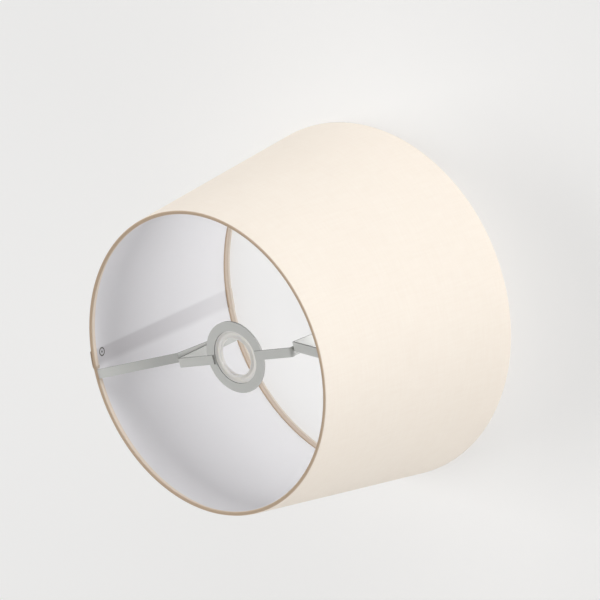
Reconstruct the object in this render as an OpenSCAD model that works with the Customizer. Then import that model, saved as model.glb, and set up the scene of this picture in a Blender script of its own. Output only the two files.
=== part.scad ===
// Tapered drum lamp shade with a reversible gimbal fitter and a reducer ring.
// The shade stands on its wide rim at z = 0, and its axis is Z.
// The two struts and the gimbal's pivot lie along X.

/* [Shade] */
// Outside diameter across the narrow top rim
top_d = 230; // [180:1:400]
// Outside diameter across the wide bottom rim
bottom_d = 280; // [220:1:480]
// Height from rim to rim
shade_h = 186; // [140:1:300]

/* [Cover and lining] */
// Thickness of the fabric
fabric_t = 0.4; // [0.25:0.05:0.8]
// Thickness of the plastic lining that the fabric is glued to
liner_t = 0.4; // [0.25:0.05:0.8]
// Thickness of the double-sided tape in the seam and round the rim wires
tape_t = 0.15; // [0.1:0.05:0.3]
// Gap between each edge of the lining and the rolled hem
liner_gap = 0.6; // [0.2:0.1:2]
// Width of the flat that the bottom hem is pressed to
hem_flat = 1.4; // [0.8:0.1:2]
// Width of the lap at the seam, measured at the top rim
lap_w = 12; // [8:0.5:20]
// Distance from the left strut's edge to the start of the lap
lap_clear = 2.5; // [1:0.5:20]
// Height of the lap's lower end above the table
lap_start = 8; // [6:0.5:20]

/* [Rim wires and struts] */
// Diameter of the round wire in both rims
wire_d = 2; // [1.8:0.1:4]
// Width of the flat strip that the struts and fitter arms are bent from
strip_w = 7; // [6:0.5:10]
// Thickness of that strip
strip_t = 1.5; // [1:0.1:2]
// Inside radius of each bend in the strip
bend_r = 1; // [0.5:0.1:2]
// Room between each strut and the notch that it leaves the hem by
notch_gap = 0.3; // [0.1:0.1:1]
// Depth of the struts' inner bend below the top rim
strut_drop = 35; // [15:1:45]
// Depth of the gimbal's pivot below the top rim
pivot_drop = 101; // [80:1:125]

/* [Fitter] */
// Outside diameter of the fitter ring
ring_d = 55; // [50:0.5:70]
// Bore of the fitter ring
ring_bore = 40.5; // [38:0.5:46]
// Thickness of the fitter ring
ring_t = 1.5; // [1:0.1:2]
// Reach of each fitter arm from the axis to its outside face
arm_reach = 58; // [45:1:70]
// Distance from the ring's bore to the end of each arm on top of it
arm_inset = 1; // [0:0.1:2]
// Gap between each fitter arm and the strut beside it
arm_gap = 0.5; // [0.3:0.1:1.5]
// Tilt of the fitter about its pivot, as it rests
fitter_tilt = 3.1; // [-15:0.1:15]

/* [Rivets] */
// Shank diameter of the pivot rivets
rivet_d = 3; // [2:0.1:4]
// Radial running clearance of each rivet in its fitter arm
rivet_clear = 0.05; // [0.02:0.01:0.1]
// Diameter of the rivet heads
head_d = 5.6; // [4.5:0.1:6.5]
// Thickness of the rivet heads
head_t = 1.2; // [0.8:0.1:2]
// Gap between each rivet's inner head and its fitter arm
head_gap = 0.3; // [0.3:0.05:0.8]
// Distance from the pivot to the rounded end of the strip
pivot_edge = 5; // [4:0.5:8]

/* [Reducer ring] */
// Hole for a small lampholder
reducer_bore = 29; // [27:0.5:32]
// Radial clearance of the collar in the fitter ring
collar_clear = 0.1; // [0.05:0.05:0.3]
// Depth of the collar's top edge below the fitter ring's top face
collar_drop = 0.7; // [0:0.1:1]
// Wall of the collar at its top edge
collar_t = 0.8; // [0.5:0.1:1.5]
// Width of the slope inside the collar
collar_slope = 1.4; // [0.5:0.1:2]
// Thickness of the flange and the web
web_t = 1.8; // [1:0.1:3]
// Height of the lip round the hole above the web
lip_rise = 1; // [0.4:0.1:1.2]
// Width of the lip's flat top
lip_t = 0.5; // [0.3:0.1:1]
// Width of the slope outside the lip
lip_slope = 1.6; // [0.5:0.1:2]
// Width of the flange under the fitter ring
flange_w = 2.4; // [1.5:0.1:4]
// Gap between the flange and the fitter ring
seat_gap = 0.1; // [0.05:0.05:0.3]

/* [Hidden] */
$fn = 96;

// A margin that carries each cut past the faces that it opens
over = 1;

// The hem is a tube of fabric rolled round the taped wire.
wire_r = wire_d / 2;
taped_r = wire_r + tape_t;
hem_r = taped_r + fabric_t;
// The roll is open between these two angles, which face the lining's edge.
hem_gap_from = 38;
hem_gap_to = 76;
// The bottom roll is pressed flat where it meets the table.
hem_press = hem_r - sqrt(pow(hem_r, 2) - pow(hem_flat / 2, 2));

// Centres of the rim wires
top_wire_r = top_d / 2 - hem_r;
top_wire_z = shade_h - hem_r;
bottom_wire_r = bottom_d / 2 - hem_r;
bottom_wire_z = hem_r - hem_press;

// The conical wall runs from roll to roll and touches each on its outside.
wall_dr = bottom_wire_r - top_wire_r;
wall_dz = top_wire_z - bottom_wire_z;
wall_len = sqrt(pow(wall_dr, 2) + pow(wall_dz, 2));
wall_lean = atan2(wall_dr, wall_dz);

// The lining ends where the roll has curved clear of it.
liner_end = sqrt(pow(hem_r, 2) - pow(taped_r - liner_t, 2)) + liner_gap;

// The lap lies on the outside of the wall, beside the left strut.
lap_angle = 2 * asin(lap_w / top_d);
lap_edge = 180 - asin((strip_w / 2 + lap_clear) / top_wire_r);
lap_low = lap_start - bottom_wire_z;
lap_tape_out = hem_r + tape_t;
lap_liner_out = lap_tape_out + liner_t;
lap_fabric_out = lap_liner_out + fabric_t;
lap_step_angle = 2 * asin(fabric_t / top_d);

// Each strut runs inward and down from the top wire, then bends straight down.
strut_face = arm_reach + arm_gap + strip_t;
bend_x = strut_face + bend_r;
bend_z = shade_h - strut_drop - bend_r;
bend_to_wire = sqrt(pow(top_wire_r - bend_x, 2) + pow(top_wire_z - bend_z, 2));
strut_slope = atan2(top_wire_z - bend_z, top_wire_r - bend_x)
            - asin((bend_r + strip_t / 2) / bend_to_wire);
strut_run = sqrt(pow(bend_to_wire, 2) - pow(bend_r + strip_t / 2, 2));
pivot_z = shade_h - pivot_drop;

// The fitter ring hangs as far from the pivot as the struts' bends, plus one strip.
ring_rise = pivot_drop - strut_drop + strip_t;
arm_face = arm_reach - strip_t;
arm_foot = ring_bore / 2 + arm_inset;

// Each strip's rounded end is centred a little below the pivot.
ear_drop = pivot_edge - strip_w / 2;
// Flats that each bend is drawn with
bend_steps = 12;

// Heights in the reducer ring, above the pivot
flange_top = ring_rise - ring_t - seat_gap;
collar_r = ring_bore / 2 - collar_clear;
collar_rise = seat_gap + ring_t - collar_drop;

// ---- shared shapes ----

// Stands a section, drawn with its length along Y, on the line between the two wires.
module on_wall() {
    translate([bottom_wire_r, bottom_wire_z])
        rotate(wall_lean)
            children();
}

// A layer of the wall in section, between two distances outside the line of the wires.
module wall_band(from, to, low_out, high_out) {
    on_wall()
        translate([low_out, from])
            square([high_out - low_out, to - from]);
}

// A roll of fabric in section, open towards the lining.
module roll() {
    reach = 2 * hem_r;
    difference() {
        circle(hem_r);
        circle(taped_r);
        polygon([[0, 0],
                 [reach * cos(hem_gap_from), reach * sin(hem_gap_from)],
                 [reach * cos(hem_gap_to), reach * sin(hem_gap_to)]]);
    }
}

// The cover in section: wall and both rolls, cut off level at the table.
module cover_section() {
    intersection() {
        union() {
            wall_band(0, wall_len, taped_r, hem_r);
            on_wall() roll();
            on_wall() translate([0, wall_len]) mirror([0, 1]) roll();
        }
        square([bottom_d, shade_h + over]);
    }
}

// A full turn of a section, started a quarter turn away from the struts.
module turn() {
    rotate([0, 0, 90])
        rotate_extrude()
            children();
}

// A solid ring of round section.
module rim_ring(ring_r, z, section_r) {
    turn()
        translate([ring_r, z])
            circle(section_r);
}

// A thin tube round a rim wire.
module rim_tube(ring_r, z, inner_r, outer_r) {
    turn()
        translate([ring_r, z])
            difference() {
                circle(outer_r);
                circle(inner_r);
            }
}

// A sector of one layer over the seam.
module lap_layer(from_angle, angle, low_out, high_out) {
    rotate([0, 0, from_angle])
        rotate_extrude(angle = angle)
            wall_band(lap_low, wall_len, low_out, high_out);
}

// The sloping part of the right strut, grown by a margin on all four sides.
module strut_slope_bar(grow) {
    translate([bend_x, 0, bend_z])
        rotate([0, -strut_slope, 0])
            translate([0, -strip_w / 2 - grow, bend_r - grow])
                cube([strut_run, strip_w + 2 * grow, strip_t + 2 * grow]);
}

// Points along an arc, from one angle to another.
function arc(centre, radius, from, to) =
    [for (i = [0:bend_steps])
        centre + radius * direction(from + (to - from) * i / bend_steps)];

function direction(angle) = [cos(angle), sin(angle)];

// The strip, seen from its edge as an outline across X and Z, with a rounded end at its foot.
module strip(outline, foot_x, foot_z) {
    rotate([90, 0, 0])
        translate([0, 0, -strip_w / 2])
            linear_extrude(strip_w)
                polygon(outline);
    translate([foot_x, 0, foot_z])
        rotate([0, 90, 0])
            cylinder(h = strip_t, d = strip_w);
}

// The hole for a rivet through a strip whose near face is at one distance along X.
module rivet_hole(face_x, z, hole_r) {
    translate([face_x - over, 0, z])
        rotate([0, 90, 0])
            cylinder(h = strip_t + 2 * over, r = hole_r);
}

// The right strut, welded to the top wire and riveted at the pivot.
module strut() {
    bend = [bend_x, bend_z];
    wire_end = bend + strut_run * direction(strut_slope);
    foot_z = pivot_z - ear_drop;
    inner_x = strut_face - strip_t;
    color("silver")
        difference() {
            strip(concat([wire_end + bend_r * direction(90 + strut_slope)],
                         arc(bend, bend_r, 90 + strut_slope, 180),
                         [[strut_face, foot_z], [inner_x, foot_z]],
                         arc(bend, bend_r + strip_t, 180, 90 + strut_slope),
                         [wire_end + (bend_r + strip_t) * direction(90 + strut_slope)]),
                  inner_x, foot_z);
            rivet_hole(inner_x, pivot_z, rivet_d / 2);
            rim_ring(top_wire_r, top_wire_z, wire_r);
        }
}

// A domed rivet head that stands on the X axis and points along +X.
module rivet_head() {
    dome_r = (pow(head_d / 2, 2) + pow(head_t, 2)) / (2 * head_t);
    rotate([0, 90, 0])
        rotate_extrude()
            intersection() {
                square([head_d / 2, head_t]);
                translate([0, head_t - dome_r])
                    circle(dome_r);
            }
}

// The right pivot rivet: its shank is fast in the strut and turns in the fitter arm.
module rivet() {
    inner_x = arm_face - head_gap;
    color("gainsboro")
        translate([0, 0, pivot_z])
            union() {
                translate([inner_x, 0, 0])
                    rotate([0, 90, 0])
                        cylinder(h = strut_face - inner_x, d = rivet_d);
                translate([strut_face, 0, 0])
                    rivet_head();
                translate([inner_x, 0, 0])
                    mirror([1, 0, 0])
                        rivet_head();
            }
}

// Places what belongs to the fitter, drawn with the pivot at the origin.
module on_pivot() {
    translate([0, 0, pivot_z])
        rotate([fitter_tilt, 0, 0])
            children();
}

// The right fitter arm: a tab on the ring, a bend, and an upright that hangs on the rivet.
module fitter_arm() {
    bend = [arm_face - bend_r, ring_rise - bend_r];
    color("silver")
        difference() {
            strip(concat([[arm_foot, ring_rise]],
                         arc(bend, bend_r, 90, 0),
                         [[arm_face, -ear_drop], [arm_reach, -ear_drop]],
                         arc(bend, bend_r + strip_t, 0, 90),
                         [[arm_foot, ring_rise + strip_t]]),
                  arm_face, -ear_drop);
            rivet_hole(arm_face, 0, rivet_d / 2 + rivet_clear);
        }
}

// ---- sub-parts ----

// Cream fabric: conical wall, rolled hems with a notch for each strut, and the seam's lap.
module fabric_cover() {
    color("antiquewhite") union() {
        difference() {
            turn() cover_section();
            strut_slope_bar(notch_gap);
            mirror([1, 0, 0]) strut_slope_bar(notch_gap);
        }
        // The lap's top layer, and the step where the cover climbs over its own end
        lap_layer(lap_edge - lap_angle, lap_angle + lap_step_angle, lap_liner_out, lap_fabric_out);
        lap_layer(lap_edge, lap_step_angle, taped_r, lap_fabric_out);
    }
}

// White plastic lining, with its end that is carried out over the seam.
module liner() {
    color("white") {
        turn()
            wall_band(liner_end, wall_len - liner_end, taped_r - liner_t, taped_r);
        lap_layer(lap_edge - lap_angle, lap_angle, lap_tape_out, lap_liner_out);
    }
}

// Clear double-sided tape that closes the seam.
module seam_tape() {
    color("lightgray")
        lap_layer(lap_edge - lap_angle, lap_angle, hem_r, lap_tape_out);
}

module top_ring() {
    color("silver")
        rim_ring(top_wire_r, top_wire_z, wire_r);
}

module bottom_ring() {
    color("silver")
        rim_ring(bottom_wire_r, bottom_wire_z, wire_r);
}

// Tape round the top wire, cut away where each strut is welded on.
module top_ring_tape() {
    color("lightgray")
        difference() {
            rim_tube(top_wire_r, top_wire_z, wire_r, taped_r);
            strut_slope_bar(notch_gap);
            mirror([1, 0, 0]) strut_slope_bar(notch_gap);
        }
}

module bottom_ring_tape() {
    color("lightgray")
        intersection() {
            rim_tube(bottom_wire_r, bottom_wire_z, wire_r, taped_r);
            cylinder(h = shade_h, d = 2 * bottom_d);
        }
}

module strut_left() {
    mirror([1, 0, 0]) strut();
}

module strut_right() {
    strut();
}

module rivet_left() {
    mirror([1, 0, 0]) rivet();
}

module rivet_right() {
    rivet();
}

// Flat steel ring that carries the lampholder.
module fitter_ring() {
    color("silver")
        on_pivot()
            translate([0, 0, ring_rise - ring_t])
                difference() {
                    cylinder(h = ring_t, d = ring_d);
                    translate([0, 0, -over])
                        cylinder(h = ring_t + 2 * over, d = ring_bore);
                }
}

module fitter_arm_left() {
    on_pivot()
        mirror([1, 0, 0]) fitter_arm();
}

module fitter_arm_right() {
    on_pivot() fitter_arm();
}

// Moulded ring that fills the fitter's bore down to a smaller hole: a flange under the
// fitter ring, a collar inside it, a flat web, and a lip round the hole.
module reducer_ring() {
    bore_r = reducer_bore / 2;
    flange_r = ring_bore / 2 + flange_w;
    slope_r = collar_r - collar_t;
    lip_r = bore_r + lip_t;
    color("white")
        on_pivot()
            translate([0, 0, flange_top])
                rotate_extrude()
                    polygon([[bore_r, -web_t], [flange_r, -web_t], [flange_r, 0],
                             [collar_r, 0], [collar_r, collar_rise], [slope_r, collar_rise],
                             [slope_r - collar_slope, 0], [lip_r + lip_slope, 0],
                             [lip_r, lip_rise], [bore_r, lip_rise]]);
}

fabric_cover();
liner();
seam_tape();
top_ring();
bottom_ring();
top_ring_tape();
bottom_ring_tape();
strut_left();
strut_right();
rivet_left();
rivet_right();
fitter_ring();
fitter_arm_left();
fitter_arm_right();
reducer_ring();
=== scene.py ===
# %% [markdown]
# # A tapered fabric lamp shade
#
# The shade is built the way a lampshade maker builds it. A strip of cotton fabric is laminated on a
# white plastic lining, cut as a sector of a cone, rolled round a steel wire at each rim, and closed
# with a lap seam. A flat steel fitter hangs from the narrow rim and turns over on two rivets.
#
# The hard parts come from the CAD frame. The cloth is made here, as one sheet with its real route:
# round the bottom wire, up the wall, and round the top wire.

# %% Load the frame
import math

import bmesh
import bpy
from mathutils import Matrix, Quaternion, Vector, noise


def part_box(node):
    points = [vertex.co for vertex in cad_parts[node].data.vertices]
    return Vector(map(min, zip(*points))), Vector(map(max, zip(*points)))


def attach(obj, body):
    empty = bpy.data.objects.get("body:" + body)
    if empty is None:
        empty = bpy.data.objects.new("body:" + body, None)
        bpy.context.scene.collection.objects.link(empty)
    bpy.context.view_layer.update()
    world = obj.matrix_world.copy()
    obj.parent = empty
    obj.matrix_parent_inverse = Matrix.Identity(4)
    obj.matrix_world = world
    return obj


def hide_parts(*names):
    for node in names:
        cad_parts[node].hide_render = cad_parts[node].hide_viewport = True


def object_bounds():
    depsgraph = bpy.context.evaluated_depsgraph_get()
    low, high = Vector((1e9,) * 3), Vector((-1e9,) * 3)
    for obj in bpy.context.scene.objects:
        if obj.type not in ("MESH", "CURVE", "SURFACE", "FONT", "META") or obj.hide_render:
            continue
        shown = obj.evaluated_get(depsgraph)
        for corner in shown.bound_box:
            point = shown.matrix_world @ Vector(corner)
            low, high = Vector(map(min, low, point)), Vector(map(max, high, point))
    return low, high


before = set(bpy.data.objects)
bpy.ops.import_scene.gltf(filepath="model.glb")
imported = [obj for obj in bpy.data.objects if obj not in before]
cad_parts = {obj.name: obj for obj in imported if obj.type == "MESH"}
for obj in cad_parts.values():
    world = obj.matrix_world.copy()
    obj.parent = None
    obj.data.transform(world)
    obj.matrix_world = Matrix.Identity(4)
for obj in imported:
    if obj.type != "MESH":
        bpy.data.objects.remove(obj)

CAD_LOW, CAD_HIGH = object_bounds()
MM = 0.001
print("CAD box in mm:", [round(v / MM, 1) for v in (*CAD_LOW, *CAD_HIGH)])

# %% [markdown]
# ## Sizes
#
# Every size is read from the frame, or is a gauge that a maker would know: the cloth's thickness,
# the lining's and the tape's. The two rim wires say where the shade is, because the cloth wraps them.

# %% Sizes from the frame
top_low, top_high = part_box("top_ring")
bottom_low, bottom_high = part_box("bottom_ring")
cover_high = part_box("fabric_cover")[1]
tape_low, tape_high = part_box("top_ring_tape")

WIRE_R = (top_high.z - top_low.z) / 2
TAPED_R = (tape_high.z - tape_low.z) / 2
TOP_R = top_high.y - WIRE_R
TOP_Z = (top_low.z + top_high.z) / 2
BOTTOM_R = bottom_high.y - WIRE_R
BOTTOM_Z = (bottom_low.z + bottom_high.z) / 2
HEM_R = cover_high.z - TOP_Z
CLOTH_T = HEM_R - TAPED_R
TAPE_T = TAPED_R - WIRE_R
LINING_T = 0.4 * MM
CENTRE = (CAD_LOW + CAD_HIGH) / 2
print(f"top wire radius {TOP_R / MM:.1f} mm at height {TOP_Z / MM:.1f} mm")
print(f"bottom wire radius {BOTTOM_R / MM:.1f} mm at height {BOTTOM_Z / MM:.1f} mm")
print(f"cloth {CLOTH_T / MM:.2f} mm thick, rolled to a hem {2 * HEM_R / MM:.1f} mm across")

# %% [markdown]
# ## The camera
#
# The camera looks down into the narrow rim from above one strut, with a long lens, so the two rims
# stay nearly the same shape. It is rolled until the strut lies across the picture, which shows the
# shade as if it lay on its side.

# %% Camera
CAMERA_AZIMUTH = math.radians(10.91)      # from +X towards +Y
CAMERA_ELEVATION = math.radians(46.35)
CAMERA_ROLL = math.radians(-111.23)
CAMERA_DISTANCE = 2.389
CAMERA_LENS = 192.0
AIM_OFFSET = Vector((0.0092, 0.0205, -0.0127))   # leaves more room above the shade than below

back = Vector((math.cos(CAMERA_ELEVATION) * math.cos(CAMERA_AZIMUTH),
               math.cos(CAMERA_ELEVATION) * math.sin(CAMERA_AZIMUTH),
               math.sin(CAMERA_ELEVATION)))
camera = bpy.data.objects.new("camera", bpy.data.cameras.new("camera"))
bpy.context.scene.collection.objects.link(camera)
camera.data.lens = CAMERA_LENS
camera.data.clip_end = 20.0
camera.location = CENTRE + AIM_OFFSET + back * CAMERA_DISTANCE
camera.rotation_mode = "QUATERNION"
upright = (-back).to_track_quat("-Z", "Y")
camera.rotation_quaternion = upright @ Quaternion((0, 0, 1), CAMERA_ROLL)
bpy.context.scene.camera = camera
print("camera at", [round(v, 3) for v in camera.location])

# %% [markdown]
# ## Helpers for materials
#
# Colours are written as sRGB hex, as a paint chart gives them, and one function turns them into the
# linear values that Blender's sockets take. A second function adds a node with its settings and links.

# %% Colour and node helpers
def linear(hex_colour):
    channels = [int(hex_colour[i:i + 2], 16) / 255 for i in (1, 3, 5)]
    return tuple(c / 12.92 if c <= 0.04045 else ((c + 0.055) / 1.055) ** 2.4 for c in channels) + (1,)


def add(tree, kind, links=None, **settings):
    """Adds a node. Settings name its properties or, with an underscore first, its input sockets."""
    node = tree.nodes.new(kind)
    for name, value in settings.items():
        if not name.startswith("_"):
            setattr(node, name, value)
    for name, value in settings.items():
        if name.startswith("_"):
            socket(node, name[1:]).default_value = value
    for name, source in (links or {}).items():
        tree.links.new(source, socket(node, name))
    return node


def socket(node, name):
    """Finds an input by its name, or by its number where several share one name."""
    return node.inputs[int(name)] if name.isdigit() else node.inputs[name.replace("_", " ")]


def new_material(name):
    """Returns a material's node tree and its surface shader, with the shader linked up."""
    material = bpy.data.materials.new(name)
    material.use_nodes = True
    tree = material.node_tree
    shader = tree.nodes["Principled BSDF"]
    return material, tree, shader


def maths(tree, operation, *values):
    """One step of arithmetic between sockets or plain numbers."""
    node = add(tree, "ShaderNodeMath", operation=operation)
    for slot, value in zip(node.inputs, values):
        if isinstance(value, (int, float)):
            slot.default_value = value
        else:
            tree.links.new(value, slot)
    return node.outputs[0]


print("cream cloth in linear light:", [round(c, 3) for c in linear("#f3e6d6")[:3]])

# %% [markdown]
# ## Cotton, plain woven and laminated
#
# The cover is a fine cotton cloth in cream. Each thread passes over and under the next, so the surface
# is a chequer of tiny humps. Cotton scatters light with no gloss, and its fine fibre ends catch light
# that grazes them, which is what sheen is for. Threads are never even: some run thick for a few
# centimetres, which shows as faint streaks both ways. The real cloth has about 24 threads to the
# centimetre. That is finer than the picture shows, so the threads are drawn a little coarser.
#
# The threads follow the flat cut, and not the cone. The UV map holds the flat pattern in metres, so
# the weave leans more and more towards the seam, as it does on a real cone-cut shade.

# %% Cotton material
THREAD_PITCH = 0.6 * MM
SLUB_LENGTH = 22 * MM
THREAD_SPREAD = 0.37         # how far apart neighbouring threads' noise is taken, so that each differs
SLUB_RELIEF = 1.2            # how far slubs stand up beside the weave's own humps
SLUB_TONE = 0.45
CLOUD_TONE = 0.25
CLOUD_SIZE = 90 * MM
WEAVE_DEPTH = 0.12 * MM


def thread_axis(tree, across, along, seed):
    """Height of one set of threads, and how thick each runs."""
    phase = maths(tree, "MULTIPLY", across, math.pi / THREAD_PITCH)
    ridge = maths(tree, "ABSOLUTE", maths(tree, "SINE", phase))
    cell = maths(tree, "FLOOR", maths(tree, "DIVIDE", across, THREAD_PITCH))
    run = maths(tree, "DIVIDE", along, SLUB_LENGTH)
    own_noise = maths(tree, "MULTIPLY", cell, THREAD_SPREAD)
    place = add(tree, "ShaderNodeCombineXYZ", {"X": own_noise, "Y": run}, _Z=seed)
    slub = add(tree, "ShaderNodeTexNoise", {"Vector": place.outputs[0]}, _Scale=1.0, _Detail=2.0,
               _Roughness=0.6)
    return ridge, slub.outputs["Fac"]


cotton, tree, shader = new_material("plain_woven_cotton")
flat_pattern = add(tree, "ShaderNodeUVMap", uv_map="flat_pattern")
flat_xy = add(tree, "ShaderNodeSeparateXYZ", {"Vector": flat_pattern.outputs[0]})
warp, warp_slub = thread_axis(tree, flat_xy.outputs["X"], flat_xy.outputs["Y"], 3.0)
weft, weft_slub = thread_axis(tree, flat_xy.outputs["Y"], flat_xy.outputs["X"], 7.0)
weave = add(tree, "ShaderNodeTexChecker", {"Vector": flat_pattern.outputs[0]}, _Scale=1 / THREAD_PITCH)
height = add(tree, "ShaderNodeMix", {"Factor": weave.outputs["Fac"], "2": warp, "3": weft},
             data_type="FLOAT")
slubs = maths(tree, "ADD", warp_slub, weft_slub)
relief = maths(tree, "ADD", height.outputs[0], maths(tree, "MULTIPLY", slubs, SLUB_RELIEF))
bump = add(tree, "ShaderNodeBump", {"Height": relief}, _Strength=0.35, _Distance=WEAVE_DEPTH)
cloud = add(tree, "ShaderNodeTexNoise", {"Vector": flat_pattern.outputs[0]}, _Scale=1 / CLOUD_SIZE,
            _Detail=3.0)
cloudy = maths(tree, "MULTIPLY", cloud.outputs["Fac"], CLOUD_TONE)
tone = maths(tree, "MULTIPLY_ADD", slubs, SLUB_TONE, cloudy)
shade_of = add(tree, "ShaderNodeValToRGB", {"Fac": tone})
shade_of.color_ramp.elements[0].position = 0.25
shade_of.color_ramp.elements[0].color = linear("#f5eadd")
shade_of.color_ramp.elements[1].position = 0.95
shade_of.color_ramp.elements[1].color = linear("#fcf4e9")
# Painted shade: the hem attribute browns the rolled hems, and darkens the bottom's cut edge.
hem_shade_share = add(tree, "ShaderNodeAttribute", attribute_name="hem")
rolled = add(tree, "ShaderNodeMix", {"Factor": hem_shade_share.outputs["Fac"], "6": shade_of.outputs["Color"]},
             data_type="RGBA", _7=linear("#c8b097"))
# The glue attribute browns the lap's cut end, glue with a painted shadow of the gap beneath it, and the
# cloth beside the notches.
glue_and_shadow_share = add(tree, "ShaderNodeAttribute", attribute_name="glue")
glued = add(tree, "ShaderNodeMix", {"Factor": glue_and_shadow_share.outputs["Fac"], "6": rolled.outputs[2]},
            data_type="RGBA", _7=linear("#7f6c57"))
tree.links.new(glued.outputs[2], shader.inputs["Base Color"])
tree.links.new(bump.outputs["Normal"], shader.inputs["Normal"])
shader.inputs["Roughness"].default_value = 0.92
shader.inputs["IOR"].default_value = 1.47
shader.inputs["Sheen Weight"].default_value = 0.25
shader.inputs["Sheen Roughness"].default_value = 0.5
shader.inputs["Sheen Tint"].default_value = linear("#fff4e6")
print(f"cotton drawn with {10 * MM / THREAD_PITCH:.0f} threads to the centimetre")

# %% [markdown]
# ## The cover's route
#
# Seen in section, the cloth is one line. It runs straight up the wall, and past each wire it rolls
# over the wire and comes back to lie on the lining, where its edge is glued down. A list of points
# along that line, swept round the axis, gives the whole cover. A Solidify modifier then gives it the
# cloth's thickness. The turned-in edge is a Bezier curve, so it leaves the roll and meets the lining
# with no kink.

# %% Route of the cloth in section
wall = Vector((TOP_R - BOTTOM_R, TOP_Z - BOTTOM_Z))
WALL_LEN = wall.length
wall_up = wall.normalized()
wall_out = Vector((wall_up.y, -wall_up.x))
CLOTH_R = TAPED_R + CLOTH_T / 2
ROLL_ANGLE = math.radians(240)      # how far the cloth turns round each wire
EDGE_REACH = 4.9 * MM               # from the wire's centre to the cut edge, along the lining
EDGE_LIES = TAPED_R - LINING_T - CLOTH_T / 2 - 0.05 * MM
ROLL_STEPS = 24
EDGE_STEPS = 7
WALL_STEPS = 40


def turned_edge():
    """The cloth past the wall: points out from the wire's centre and on past it, with how far it rolled."""
    points = []
    for i in range(1, ROLL_STEPS + 1):
        angle = ROLL_ANGLE * i / ROLL_STEPS
        points.append((Vector((math.cos(angle), math.sin(angle))) * CLOTH_R, i / ROLL_STEPS))
    start = points[-1][0]
    heading = Vector((-math.sin(ROLL_ANGLE), math.cos(ROLL_ANGLE)))
    corner = start + heading * (EDGE_LIES - start.x) / heading.x
    end = Vector((EDGE_LIES, -EDGE_REACH))
    for i in range(1, EDGE_STEPS + 1):
        t = i / EDGE_STEPS
        points.append((start * (1 - t) ** 2 + corner * 2 * t * (1 - t) + end * t * t, 1.0))
    return points


def placed(centre, point, past):
    """Turns a point given along the wall's directions into radius and height."""
    return centre + wall_out * point.x + wall_up * point.y * past


def section_route():
    """Points, outward directions, lengths along the cloth and shares of the roll, edge to edge."""
    bottom_wire = Vector((BOTTOM_R, BOTTOM_Z))
    top_wire = Vector((TOP_R, TOP_Z))
    on_wall = Vector((CLOTH_R, 0))
    places = [(placed(bottom_wire, point, -1), share) for point, share in reversed(turned_edge())]
    for i in range(WALL_STEPS + 1):
        places.append((placed(bottom_wire.lerp(top_wire, i / WALL_STEPS), on_wall, 1), 0.0))
    places += [(placed(top_wire, point, 1), share) for point, share in turned_edge()]
    spots = [place for place, share in places]
    lengths = [0.0]
    for a, b in zip(spots, spots[1:]):
        lengths.append(lengths[-1] + (b - a).length)
    at_wall = lengths[ROLL_STEPS + EDGE_STEPS]
    rows = []
    for i, (place, share) in enumerate(places):
        heading = (spots[min(i + 1, len(spots) - 1)] - spots[max(i - 1, 0)]).normalized()
        rows.append((place, Vector((heading.y, -heading.x)), lengths[i] - at_wall, share))
    return rows


route = section_route()
FIRST_ON_TOP = ROLL_STEPS + EDGE_STEPS + WALL_STEPS + 1
ROUTE_LEN = route[-1][2] - route[0][2]
print(f"the cloth is {ROUTE_LEN / MM:.0f} mm from edge to edge, {WALL_LEN / MM:.0f} mm of it on the wall")

# %% [markdown]
# ## The seam
#
# The sheet goes once round and on over its own start. The last 12 mm lie on top of the tape and of
# the lining that the sheet carries, so they stand proud, and just before the lap the sheet climbs to
# that height. The free edge is turned in, so it ends in a small rounded nose.

# %% Where the lap lies
lap_angles = [math.atan2(v.co.y, v.co.x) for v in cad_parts["seam_tape"].data.vertices]
LAP_FREE_EDGE = min(lap_angles)
LAP_START = max(lap_angles)
LAP_RISE = TAPE_T + LINING_T + CLOTH_T
CLIMB = math.radians(1.0)
NOSE = math.radians(0.35)
print(f"lap from {math.degrees(LAP_FREE_EDGE):.1f} to {math.degrees(LAP_START):.1f} degrees,"
      f" {LAP_RISE / MM:.2f} mm proud")


def lap_height(turned):
    """How far the sheet is lifted at an angle turned from its inner end, which is under the lap."""
    full_turn = 2 * math.pi
    end = full_turn + LAP_START - LAP_FREE_EDGE
    climb = (turned - (full_turn - CLIMB)) / CLIMB
    lifted = max(0.0, min(1.0, climb))
    lifted = lifted * lifted * (3 - 2 * lifted)
    nose = max(0.0, 1 - (end - turned) / NOSE)
    return LAP_RISE * (lifted - 0.55 * nose * nose)


# %% [markdown]
# ## Making the cover
#
# The mesh is a grid: columns round the shade, rows along the section. Columns are closer together
# at the lap and at the two notches. Three small things keep it from looking machine-perfect: the wall
# swells by up to a tenth of a millimetre, the turned-in edge puckers where it is pressed round the
# wire, and each notch is a real slit, cut from the edge of the cloth up to the strut. The hems are
# drawn browner than the wall, which is painted shade, with a darker line at the bottom's cut edge. The
# lap's cut end is browner still, glue with a painted shadow of the gap beneath it, and so is the cloth
# beside the notches.

# %% Build the cover
strut_low, strut_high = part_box("strut_right")
STRUT_HALF = (strut_high.y - strut_low.y) / 2
NOTCH_GAP = 0.3 * MM
NOTCH_HALF = (STRUT_HALF + NOTCH_GAP) / TOP_R
NOTCH_FROM = math.radians(168) / ROLL_ANGLE     # share of the roll at which each slit begins
SHEET_TURN = 2 * math.pi + LAP_START - LAP_FREE_EDGE
FULL_TURN = 2 * math.pi
COLUMN_STEP = math.radians(1.5)
PUCKER_PITCH = 9 * MM
PUCKER = 0.10 * MM
SWELL = 0.10 * MM
SWELL_ROUND = 55 * MM
SWELL_ALONG = 60 * MM
PUCKER_DRIFT = 0.08          # how fast the puckers change from row to row


def turned_to(azimuth):
    """How far along the sheet an angle round the shade lies."""
    return (LAP_START - azimuth) % FULL_TURN


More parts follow.
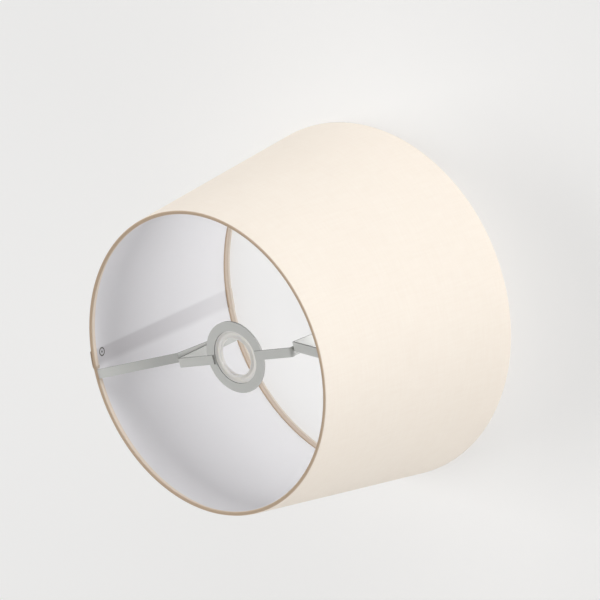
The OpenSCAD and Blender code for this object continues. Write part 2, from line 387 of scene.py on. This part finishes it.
def column_places():
    count = round(SHEET_TURN / COLUMN_STEP)
    places = [SHEET_TURN * i / count for i in range(count + 1)]
    for strut_azimuth in (0.0, math.pi):
        middle = turned_to(strut_azimuth)
        places += [middle + NOTCH_HALF * share for share in (-1, -0.5, 0, 0.5, 1)]
    places += [FULL_TURN - CLIMB * share for share in (1, 0.75, 0.5, 0.25, 0)]
    places += [SHEET_TURN - NOSE * share for share in (0.8, 0.6, 0.4, 0.2)]
    places.sort()
    least = math.radians(0.05)
    return [b for a, b in zip([-1.0] + places, places) if b - a > least]


def cover_point(turned, step):
    """A point of the cover's mid-surface, from its place round and along the sheet."""
    place, outward, along, share = route[step]
    around = turned * BOTTOM_R
    pucker = noise.noise(Vector((around / PUCKER_PITCH, step * PUCKER_DRIFT, 2.0))) * PUCKER * share ** 1.5
    window = math.sin(math.pi * min(1.0, max(0.0, along / WALL_LEN)))
    swell = noise.noise(Vector((around / SWELL_ROUND, along / SWELL_ALONG, 9.0))) * 0.5 + 0.5
    rise = LAP_RISE + (CLOTH_T + TAPE_T - LAP_RISE) * min(1.0, share * 6)
    lift = lap_height(turned) / LAP_RISE * rise
    section = place + outward * (pucker + swell * SWELL * window + lift)
    azimuth = LAP_START - turned
    height = max(section.y, CLOTH_T / 2)
    return Vector((section.x * math.cos(azimuth), section.x * math.sin(azimuth), height))


TRIM_ANGLE = math.radians(72)       # how far the lap's top layer follows the top roll


def is_trimmed(turned, step):
    """The lap's top layer is cut short on the top roll, so that the hem isn't rolled twice."""
    on_top = step >= FIRST_ON_TOP
    return on_top and turned > FULL_TURN and route[step][3] * ROLL_ANGLE > TRIM_ANGLE


def in_notch(turned, step):
    share = route[step][3]
    on_top = step >= FIRST_ON_TOP
    near = min(abs(turned - turned_to(0.0)), abs(turned - turned_to(math.pi)))
    return on_top and share > NOTCH_FROM and near < NOTCH_HALF


# Angles below are degrees round the roll, from the wall. Painted shade and browning run from 0, none, to 1,
# full, and the colour mix takes anything above 1 as 1.
def smooth(value, start, end):
    """Rises smoothly from 0 at the start to 1 at the end."""
    share = max(0.0, min(1.0, (value - start) / (end - start)))
    return share * share * (3 - 2 * share)


# Painted shade over the rolls, strongest on the top's crown, and a darker line at the bottom's cut edge.
TOP_SHADE, TOP_SHADE_LOST = 1.1, 0.7
LOW_ROLL_SHADE, LOW_MARGIN_SHADE, CUT_EDGE_DARKENING = 0.15, 0.35, 0.6


def hem_painted_shade(step):
    """How far the hem is browned: painted shade, most over the top's crown, lighter on the bottom roll and
    its turned-in margin, with a darker line at the bottom's cut edge.
    """
    over = math.degrees(route[step][3] * ROLL_ANGLE)
    if step >= FIRST_ON_TOP:
        return smooth(over, 15, 50) * (TOP_SHADE - TOP_SHADE_LOST * smooth(over, 120, 170))
    cut_edge = CUT_EDGE_DARKENING if step < 2 else 0.0
    return LOW_ROLL_SHADE * smooth(over, 10, 50) + LOW_MARGIN_SHADE * smooth(over, 205, 240) + cut_edge


# The lap's cut end gets glue and a painted shadow of the gap beneath it; the notches' sides are browned
# too.
LAP_SHADOW_AT, LAP_SHADOW_REACH = 50, 42
NOTCH_BROWNING = 0.32
NOTCH_BROWNING_REACH = 2.4 * NOTCH_HALF


def glue_and_shadow_at(turned, step):
    """How much the top roll is browned: on the lap's cut end, glue with a painted shadow of the gap beneath
    it, and beside each strut's notch.
    """
    if step < FIRST_ON_TOP:
        return 0.0
    over = math.degrees(route[step][3] * ROLL_ANGLE)
    past_seam = max(0.0, min(1.0, (turned - FULL_TURN) / CLIMB))
    on_lap = past_seam * max(0.0, 1 - abs(over - LAP_SHADOW_AT) / LAP_SHADOW_REACH)
    near = min(abs(turned - turned_to(0.0)), abs(turned - turned_to(math.pi)))
    by_notch = NOTCH_BROWNING * smooth(near, NOTCH_BROWNING_REACH, NOTCH_HALF) * smooth(over, 70, 150)
    return min(1.0, on_lap + by_notch)


SIN_LEAN = -wall_up.x
SLANT = (BOTTOM_R + CLOTH_R * wall_out.x) / SIN_LEAN


def flat_place(turned, step):
    """Where a point of the sheet lies on the flat pattern, in metres."""
    radius = SLANT - route[step][2]
    angle = (turned - SHEET_TURN / 2) * SIN_LEAN
    return radius * math.sin(angle), radius * math.cos(angle)


def make_cover():
    places = column_places()
    rows = len(route)
    mesh = bmesh.new()
    uv_layer = mesh.loops.layers.uv.new("flat_pattern")
    hem = mesh.verts.layers.float.new("hem")
    glue = mesh.verts.layers.float.new("glue")
    grid = [[mesh.verts.new(cover_point(turned, step)) for step in range(rows)] for turned in places]
    # Each point carries its painted shade on the hems, and its glue with painted shadow at the lap's end.
    for turned, column in zip(places, grid):
        for step, vertex in enumerate(column):
            vertex[hem] = hem_painted_shade(step)
            vertex[glue] = glue_and_shadow_at(turned, step)
    for i in range(len(places) - 1):
        middle = (places[i] + places[i + 1]) / 2
        for j in range(rows - 1):
            if in_notch(middle, j + 1) or is_trimmed(middle, j + 1):
                continue
            corners = ((i, j), (i, j + 1), (i + 1, j + 1), (i + 1, j))
            face = mesh.faces.new([grid[a][b] for a, b in corners])
            face.smooth = True
            for loop, (a, b) in zip(face.loops, corners):
                loop[uv_layer].uv = flat_place(places[a], b)
    loose = [v for v in mesh.verts if not v.link_faces]
    bmesh.ops.delete(mesh, geom=loose, context="VERTS")
    data = bpy.data.meshes.new("fabric_sheet")
    mesh.to_mesh(data)
    mesh.free()
    sheet = bpy.data.objects.new("fabric_sheet", data)
    bpy.context.scene.collection.objects.link(sheet)
    thick = sheet.modifiers.new("cloth_thickness", "SOLIDIFY")
    thick.thickness = CLOTH_T
    thick.offset = 0.0
    return sheet


def bake_modifiers(piece):
    """Makes what the modifiers show into the piece's own mesh, with crisp cut edges."""
    depsgraph = bpy.context.evaluated_depsgraph_get()
    final = bpy.data.meshes.new_from_object(piece.evaluated_get(depsgraph))
    piece.modifiers.clear()
    piece.data = final
    final.set_sharp_from_angle(angle=math.radians(50))
    return piece


fabric = bake_modifiers(make_cover())
fabric.data.materials.append(cotton)
print(f"cover: {len(fabric.data.polygons)} faces")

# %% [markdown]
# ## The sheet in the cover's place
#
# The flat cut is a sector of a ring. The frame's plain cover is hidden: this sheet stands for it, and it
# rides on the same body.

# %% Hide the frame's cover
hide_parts("fabric_cover")
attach(fabric, "shade")

# %% [markdown]
# ## Lining
#
# The lining is a calendered white plastic sheet, which is rolled thin between steel rollers. It is
# satin, with a very fine frosted grain. Light comes through the shade's wall, but less of it through
# the lap, where the wall is doubled, so the lap shows inside as a slightly darker band that fades
# towards the wide rim. A plain ring and dot are printed by the lap in dark ink.

# %% Lining material
GRAIN = 0.35 * MM
MARK_AZIMUTH = math.radians(172.7)
MARK_Z = 173 * MM
MARK_R = 2.9 * MM
MARK_LINE = 1.0 * MM
MARK_INK = 0.92              # how fully the ink covers
SOFT = math.radians(0.6)     # the band's sharp side
SPREAD = math.radians(1.4)   # the band's blurred side
FADED = 0.25                 # how much of the band is left at the wide rim
MOTTLE_SIZE = 70 * MM
MOTTLE = 0.16
FROST_DEPTH = 0.03 * MM
lining, tree, shader = new_material("calendered_white_plastic")
place = add(tree, "ShaderNodeTexCoord").outputs["Object"]
xyz = add(tree, "ShaderNodeSeparateXYZ", {"Vector": place})
azimuth = maths(tree, "ARCTAN2", xyz.outputs["Y"], xyz.outputs["X"])
band_low = add(tree, "ShaderNodeMapRange", {"Value": azimuth}, interpolation_type="SMOOTHSTEP",
               _From_Min=LAP_FREE_EDGE - SOFT, _From_Max=LAP_FREE_EDGE + SOFT)
band_high = add(tree, "ShaderNodeMapRange", {"Value": azimuth}, interpolation_type="SMOOTHSTEP",
                _From_Min=LAP_START + SPREAD, _From_Max=LAP_START - SPREAD)
strength = add(tree, "ShaderNodeMapRange", {"Value": xyz.outputs["Z"]}, _From_Min=BOTTOM_Z, _From_Max=TOP_Z,
               _To_Min=FADED)
band = maths(tree, "MULTIPLY", maths(tree, "MULTIPLY", band_low.outputs[0], band_high.outputs[0]),
             strength.outputs[0])
mottle = add(tree, "ShaderNodeTexNoise", {"Vector": place}, _Scale=1 / MOTTLE_SIZE, _Detail=2.0)
# Painted light: the lining's white is drawn greyer at the narrow rim and whiter towards the wide rim, where
# more light comes in through the wall and the open rim.
painted_light_to_wide_rim = add(tree, "ShaderNodeMapRange", {"Value": xyz.outputs["Z"]}, _From_Min=TOP_Z, _From_Max=BOTTOM_Z)
cloudy = maths(tree, "MULTIPLY_ADD", mottle.outputs["Fac"], MOTTLE, painted_light_to_wide_rim.outputs[0])
white = add(tree, "ShaderNodeMix", {"Factor": cloudy}, data_type="RGBA", _6=linear("#e0dfe2"),
            _7=linear("#fdfdff"))
banded = add(tree, "ShaderNodeMix", {"Factor": band, "6": white.outputs[2]}, data_type="RGBA",
             _7=linear("#d2d0d3"))
round_shade = maths(tree, "MULTIPLY", maths(tree, "SUBTRACT", azimuth, MARK_AZIMUTH), TOP_R)
down_shade = maths(tree, "SUBTRACT", xyz.outputs["Z"], MARK_Z)
from_mark = add(tree, "ShaderNodeCombineXYZ", {"X": round_shade, "Y": down_shade})
mark_reach = add(tree, "ShaderNodeVectorMath", {"0": from_mark.outputs[0]}, operation="LENGTH")
mark_distance = mark_reach.outputs[1]
ink_ring = maths(tree, "COMPARE", mark_distance, MARK_R, MARK_LINE / 2)
ink_dot = maths(tree, "LESS_THAN", mark_distance, MARK_LINE * 0.9)
worn_ink = maths(tree, "MULTIPLY", maths(tree, "ADD", ink_ring, ink_dot), MARK_INK)
marked = add(tree, "ShaderNodeMix", {"Factor": worn_ink, "6": banded.outputs[2]}, data_type="RGBA",
             _7=linear("#3c3a36"))
tree.links.new(marked.outputs[2], shader.inputs["Base Color"])
frost = add(tree, "ShaderNodeTexNoise", {"Vector": place}, _Scale=1 / GRAIN, _Detail=2.0)
grain = add(tree, "ShaderNodeBump", {"Height": frost.outputs["Fac"]}, _Strength=0.15, _Distance=FROST_DEPTH)
tree.links.new(grain.outputs["Normal"], shader.inputs["Normal"])
shader.inputs["Roughness"].default_value = 0.55
shader.inputs["IOR"].default_value = 1.54


def dress(material, *nodes):
    """Gives a CAD node's mesh one finish."""
    for name in nodes:
        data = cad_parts[name].data
        data.materials.clear()
        data.materials.append(material)


dress(lining, "liner")
print(f"lining band {math.degrees(LAP_START - LAP_FREE_EDGE):.1f} degrees wide")

# %% [markdown]
# ## Powder-coated steel
#
# Struts, arms and ring are cold-rolled strip, powder-coated light grey: charged powder is baked until
# it flows into a tough satin skin. It has a faint orange-peel ripple. Faces turned along Y are drawn
# darker. The strips run along X, so their narrow edges face along Y, and the colour is darkened by how
# far a face turns that way. It darkens the ring's rim at two places as well.

# %% Powder coat
PEEL_SIZE = 1.1 * MM
PEEL_DEPTH = 0.06 * MM
PATCH_SIZE = 14 * MM
FACE_ENDS, EDGE_STARTS = 0.8, 0.97     # how far a face is turned along Y where the darkening begins and where it is full
coat, tree, shader = new_material("powder_coated_steel")
place = add(tree, "ShaderNodeTexCoord").outputs["Object"]
peel = add(tree, "ShaderNodeTexNoise", {"Vector": place}, _Scale=1 / PEEL_SIZE, _Detail=2.0)
ripple = add(tree, "ShaderNodeBump", {"Height": peel.outputs["Fac"]}, _Strength=0.25, _Distance=PEEL_DEPTH)
patch = add(tree, "ShaderNodeTexNoise", {"Vector": place}, _Scale=1 / PATCH_SIZE, _Detail=3.0)
grey = add(tree, "ShaderNodeMix", {"Factor": patch.outputs["Fac"]}, data_type="RGBA",
           _6=linear("#cfd0cc"), _7=linear("#d6d7d3"))
facing = add(tree, "ShaderNodeSeparateXYZ", {"Vector": add(tree, "ShaderNodeTexCoord").outputs["Normal"]})
sideways = maths(tree, "ABSOLUTE", facing.outputs["Y"])
# Faces turned along Y are darkened in the colour, by their direction alone.
darkened_along_y = add(tree, "ShaderNodeMapRange", {"Value": sideways}, _From_Min=FACE_ENDS,
              _From_Max=EDGE_STARTS)
darker_along_y = add(tree, "ShaderNodeMix", {"Factor": darkened_along_y.outputs[0], "6": grey.outputs[2]}, data_type="RGBA",
            _7=linear("#7f807c"))
tree.links.new(darker_along_y.outputs[2], shader.inputs["Base Color"])
tree.links.new(ripple.outputs["Normal"], shader.inputs["Normal"])
shader.inputs["Roughness"].default_value = 0.42
shader.inputs["IOR"].default_value = 1.5
dress(coat, "strut_left", "strut_right", "fitter_ring", "fitter_arm_left", "fitter_arm_right")

# %% [markdown]
# ## Small parts
#
# The rivets are zinc-plated steel, the rim wires are bright drawn steel, the tapes are clear film, and
# the reducer ring is moulded in white polypropylene, which is slightly waxy.

# %% Rivet, wire, tape and reducer
SPANGLE_SIZE = 0.8 * MM
DRAW_SIZE = 0.5 * MM
BUBBLE_SIZE = 2.5 * MM
SKIN_SIZE = 3 * MM
SKIN_DEPTH = 0.05 * MM

zinc, tree, shader = new_material("zinc_plated_steel")
spangle = add(tree, "ShaderNodeTexNoise", {"Vector": add(tree, "ShaderNodeTexCoord").outputs["Object"]},
              _Scale=1 / SPANGLE_SIZE, _Detail=2.0)
dull = add(tree, "ShaderNodeMapRange", {"Value": spangle.outputs["Fac"]}, _To_Min=0.28, _To_Max=0.48)
tree.links.new(dull.outputs[0], shader.inputs["Roughness"])
shader.inputs["Base Color"].default_value = linear("#c9cbcc")
shader.inputs["Metallic"].default_value = 1.0
dress(zinc, "rivet_left", "rivet_right")

wire, tree, shader = new_material("drawn_steel_wire")
draw_marks = add(tree, "ShaderNodeTexNoise", {"Vector": add(tree, "ShaderNodeTexCoord").outputs["Object"]},
                 _Scale=1 / DRAW_SIZE, _Detail=2.0)
dull = add(tree, "ShaderNodeMapRange", {"Value": draw_marks.outputs["Fac"]}, _To_Min=0.3, _To_Max=0.5)
tree.links.new(dull.outputs[0], shader.inputs["Roughness"])
shader.inputs["Base Color"].default_value = linear("#b9b9b8")
shader.inputs["Metallic"].default_value = 1.0
dress(wire, "top_ring", "bottom_ring")

tape, tree, shader = new_material("clear_adhesive_tape")
bubbles = add(tree, "ShaderNodeTexNoise", {"Vector": add(tree, "ShaderNodeTexCoord").outputs["Object"]},
              _Scale=1 / BUBBLE_SIZE, _Detail=3.0)
film = add(tree, "ShaderNodeMix", {"Factor": bubbles.outputs["Fac"]}, data_type="RGBA",
           _6=linear("#cfc6b4"), _7=linear("#e2dccd"))
tree.links.new(film.outputs[2], shader.inputs["Base Color"])
shader.inputs["Roughness"].default_value = 0.25
dress(tape, "seam_tape", "top_ring_tape", "bottom_ring_tape")

plastic, tree, shader = new_material("moulded_white_polypropylene")
skin = add(tree, "ShaderNodeTexNoise", {"Vector": add(tree, "ShaderNodeTexCoord").outputs["Object"]},
           _Scale=1 / SKIN_SIZE, _Detail=3.0)
milk = add(tree, "ShaderNodeMix", {"Factor": skin.outputs["Fac"]}, data_type="RGBA",
           _6=linear("#f0eeea"), _7=linear("#f7f5f1"))
tree.links.new(milk.outputs[2], shader.inputs["Base Color"])
dimple = add(tree, "ShaderNodeBump", {"Height": skin.outputs["Fac"]}, _Strength=0.15, _Distance=SKIN_DEPTH)
tree.links.new(dimple.outputs["Normal"], shader.inputs["Normal"])
shader.inputs["Roughness"].default_value = 0.38
shader.inputs["IOR"].default_value = 1.49
shader.inputs["Subsurface Weight"].default_value = 0.3
shader.inputs["Subsurface Radius"].default_value = (1.0, 0.95, 0.8)
shader.inputs["Subsurface Scale"].default_value = 1.5 * MM
dress(plastic, "reducer_ring")
print("finishes:", ", ".join(sorted(m.name for m in bpy.data.materials)))

# %% [markdown]
# ## Floor and light
#
# The shade stands on a lit table, a sheet of matt white acrylic with a soft glow, so light reaches the
# lining through the wide rim as it does in a bright room. Two broad soft lamps light the cloth from
# both sides of the camera, one hangs overhead, and one behind looks down into the narrow rim and picks
# out the flat faces of the fitter. Cloth and lining let a little light through, which brightens
# the inside of a real shade: a faint lamp low inside, which the camera doesn't see, stands for it.

# %% Floor and lamps
floor_data = bpy.data.meshes.new("floor")
FLOOR_HALF = 6.0
floor_data.from_pydata([(x, y, 0) for x, y in ((-FLOOR_HALF, -FLOOR_HALF), (FLOOR_HALF, -FLOOR_HALF),
                                              (FLOOR_HALF, FLOOR_HALF), (-FLOOR_HALF, FLOOR_HALF))],
                       [], [(0, 1, 2, 3)])
floor = bpy.data.objects.new("floor", floor_data)
bpy.context.scene.collection.objects.link(floor)
acrylic, tree, shader = new_material("lit_acrylic")
shader.inputs["Base Color"].default_value = linear("#b4b3b1")
shader.inputs["Roughness"].default_value = 0.95
shader.inputs["Specular IOR Level"].default_value = 0.15
shader.inputs["Emission Color"].default_value = linear("#ffffff")
shader.inputs["Emission Strength"].default_value = 0.5
floor_data.materials.append(acrylic)


def soft_lamp(name, place, width, height, power):
    """A rectangular lamp that points at the shade's middle."""
    lamp = bpy.data.objects.new(name, bpy.data.lights.new(name, "AREA"))
    bpy.context.scene.collection.objects.link(lamp)
    lamp.data.shape = "RECTANGLE"
    lamp.data.size = width
    lamp.data.size_y = height
    lamp.data.energy = power
    lamp.location = place
    lamp.rotation_mode = "QUATERNION"
    lamp.rotation_quaternion = (CENTRE - Vector(place)).to_track_quat("-Z", "Y")
    return lamp


# Places and sizes are in metres, and powers in watts.
soft_lamp("side_lamp", place=(1.3, 1.7, 0.3), width=1.8, height=0.5, power=28)
soft_lamp("fill_lamp", place=(1.5, -1.6, 0.3), width=1.8, height=0.5, power=22)
soft_lamp("top_lamp", place=(0.1, 0.0, 2.6), width=1.0, height=1.0, power=17)
soft_lamp("back_lamp", place=(-1.7, 0.2, 2.2), width=1.0, height=1.0, power=27)
glow = soft_lamp("glow_lamp", place=(0.105, 0.0, 0.075), width=0.10, height=0.08, power=0.075)
across_and_down = Vector((-1, 0, -0.1))
glow.rotation_quaternion = across_and_down.to_track_quat("-Z", "Y")
glow.visible_camera = False
world = bpy.data.worlds.new("studio")
world.use_nodes = True
sky = world.node_tree.nodes["Background"]
sky.inputs["Color"].default_value = linear("#f4f4f6")
sky.inputs["Strength"].default_value = 0.06
bpy.context.scene.world = world
bpy.context.scene.view_settings.view_transform = "Standard"
